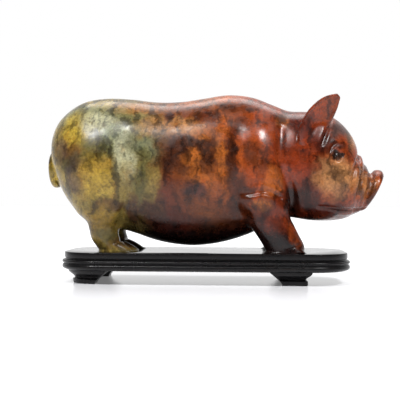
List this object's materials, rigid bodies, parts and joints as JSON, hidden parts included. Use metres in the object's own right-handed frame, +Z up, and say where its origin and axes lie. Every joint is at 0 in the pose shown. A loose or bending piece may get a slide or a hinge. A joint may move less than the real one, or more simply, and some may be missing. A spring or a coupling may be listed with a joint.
{
  "type": "carved stone pig on a wooden stand",
  "caption": "Polished soapstone carving of a stout standing pig, fitted into a low black-lacquered wooden stand with moulded edge and bracket feet.",
  "frame": {"origin": "on the surface the stand stands on, below the middle of the carving's overall length and width", "axes": "+X from tail to snout, +Y towards the pig's left flank, +Z up"},
  "size_m": [0.1822, 0.0636, 0.1016],
  "materials": {
    "soapstone": "waxed and polished mottled soapstone: ochre and grey-green rump running into orange, russet and dark brown, soft gloss",
    "lacquered_wood": "black lacquer over close-grained hardwood, satin gloss, slightly rubbed on the edges"
  },
  "bodies": {
    "root": {"pig_carving": "soapstone", "wooden_stand": "lacquered_wood"}
  },
  "joints": []
}
